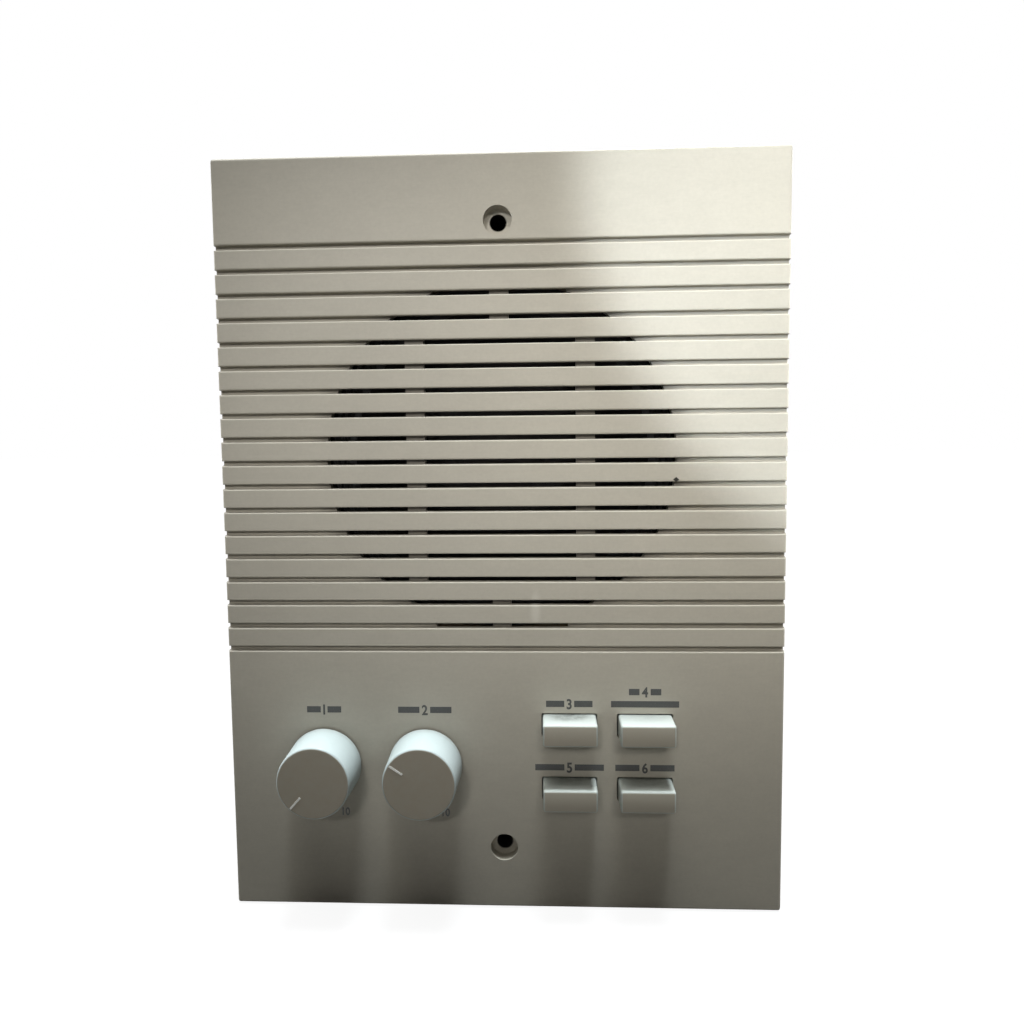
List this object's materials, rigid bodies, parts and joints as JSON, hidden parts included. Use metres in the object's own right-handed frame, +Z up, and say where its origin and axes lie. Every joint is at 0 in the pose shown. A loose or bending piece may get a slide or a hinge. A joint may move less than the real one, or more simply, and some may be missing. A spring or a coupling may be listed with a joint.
{
  "type": "wall intercom speaker",
  "caption": "Wall intercom station with a grooved and slotted panel, a loudspeaker behind it, rotary volume knobs, push buttons and a circuit board.",
  "frame": {"origin": "midway between the two mounting screw holes, on the wall plane that the rim rests on", "axes": "-Y points out of the front face into the room, +Y into the wall, +Z up, +X to the right as seen from the front"},
  "size_m": [0.181, 0.064, 0.2444],
  "materials": {
    "panel_plastic": "satin moulded, warm light grey, fine horizontal grain",
    "knob_plastic": "satin moulded, pale grey",
    "button_plastic": "satin moulded, pale grey",
    "pointer_paint": "white insert",
    "black_paper": "pressed fibre, matt black",
    "dust_cap_felt": "matt black felt",
    "damper_cloth": "resin stiffened cloth, amber",
    "former_paper": "brown paper tube",
    "gasket_board": "grey brown pressed board",
    "zinc_steel": "zinc plated sheet",
    "screw_steel": "zinc plated",
    "spring_steel": "drawn wire",
    "plated_iron": "plated turned iron",
    "ferrite": "sintered, dull dark grey",
    "coil_copper": "enamelled wire",
    "fibre_strip": "laminated fibre",
    "tinned_brass": "tinned",
    "turned_brass": "turned",
    "board_laminate": "phenolic laminate",
    "shaft_nylon": "natural nylon",
    "switch_black": "moulded black",
    "block_black": "moulded phenolic",
    "core_iron": "varnished laminations",
    "bobbin_tape": "amber insulating tape",
    "capacitor_sleeve": "shrunk sleeve, dark blue",
    "film_resin": "dipped resin",
    "resistor_lacquer": "tan lacquer",
    "chip_resin": "moulded resin"
  },
  "bodies": {
    "station": {"front_panel": "panel_plastic", "speaker_gasket": "gasket_board", "speaker_frame": "zinc_steel", "cone_surround": "black_paper", "cone_damper": "damper_cloth", "front_plate": "plated_iron", "ring_magnet": "ferrite", "back_plate": "plated_iron", "pole_piece": "plated_iron", "speaker_terminal_board": "fibre_strip", "speaker_terminal_tags": "tinned_brass", "speaker_clips": "zinc_steel", "speaker_clip_screws": "screw_steel", "circuit_board": "board_laminate", "board_screws": "screw_steel", "left_pot_housing": "zinc_steel", "left_pot_bush": "turned_brass", "right_pot_housing": "zinc_steel", "right_pot_bush": "turned_brass", "top_left_spring": "spring_steel", "top_left_switch": "switch_black", "top_right_spring": "spring_steel", "top_right_switch": "switch_black", "bottom_left_spring": "spring_steel", "bottom_left_switch": "switch_black", "bottom_right_spring": "spring_steel", "bottom_right_switch": "switch_black", "terminal_block": "block_black", "terminal_screws": "screw_steel", "transformer_core": "core_iron", "transformer_bobbin": "bobbin_tape", "electrolytic_capacitors": "capacitor_sleeve", "film_capacitors": "film_resin", "resistors": "resistor_lacquer", "amplifier_chip": "chip_resin"},
    "left_volume_knob": {"left_knob": "knob_plastic", "left_pointer": "pointer_paint", "left_shaft": "shaft_nylon"},
    "right_volume_knob": {"right_knob": "knob_plastic", "right_pointer": "pointer_paint", "right_shaft": "shaft_nylon"},
    "top_left_push_button": {"top_left_button": "button_plastic", "top_left_plunger": "shaft_nylon"},
    "top_right_push_button": {"top_right_button": "button_plastic", "top_right_plunger": "shaft_nylon"},
    "bottom_left_push_button": {"bottom_left_button": "button_plastic", "bottom_left_plunger": "shaft_nylon"},
    "bottom_right_push_button": {"bottom_right_button": "button_plastic", "bottom_right_plunger": "shaft_nylon"},
    "moving_cone": {"speaker_cone": "black_paper", "dust_cap": "dust_cap_felt", "coil_former": "former_paper", "coil_winding": "coil_copper"}
  },
  "joints": [
    {"name": "left_knob_turn", "type": "hinge", "parent": "station", "child": "left_volume_knob", "pos_m": [-0.0591, -0.02, -0.07354], "axis": [0, 1, 0], "range_deg": [-2, 278]},
    {"name": "right_knob_turn", "type": "hinge", "parent": "station", "child": "right_volume_knob", "pos_m": [-0.0257, -0.02, -0.07354], "axis": [0, 1, 0], "range_deg": [-83, 197]},
    {"name": "top_left_press", "type": "slide", "parent": "station", "child": "top_left_push_button", "axis": [0, 1, 0], "range_m": [0, 0.0035], "stiffness_N_per_m": 400, "springref_m": -0.002, "deforming": ["top_left_spring"]},
    {"name": "top_right_press", "type": "slide", "parent": "station", "child": "top_right_push_button", "axis": [0, 1, 0], "range_m": [0, 0.0035], "stiffness_N_per_m": 400, "springref_m": -0.002, "deforming": ["top_right_spring"]},
    {"name": "bottom_left_press", "type": "slide", "parent": "station", "child": "bottom_left_push_button", "axis": [0, 1, 0], "range_m": [0, 0.0035], "stiffness_N_per_m": 400, "springref_m": -0.002, "deforming": ["bottom_left_spring"]},
    {"name": "bottom_right_press", "type": "slide", "parent": "station", "child": "bottom_right_push_button", "axis": [0, 1, 0], "range_m": [0, 0.0035], "stiffness_N_per_m": 400, "springref_m": -0.002, "deforming": ["bottom_right_spring"]},
    {"name": "cone_travel", "type": "slide", "parent": "station", "child": "moving_cone", "axis": [0, 1, 0], "range_m": [-0.001, 0.001], "stiffness_N_per_m": 1500, "deforming": ["cone_surround", "cone_damper"]}
  ]
}
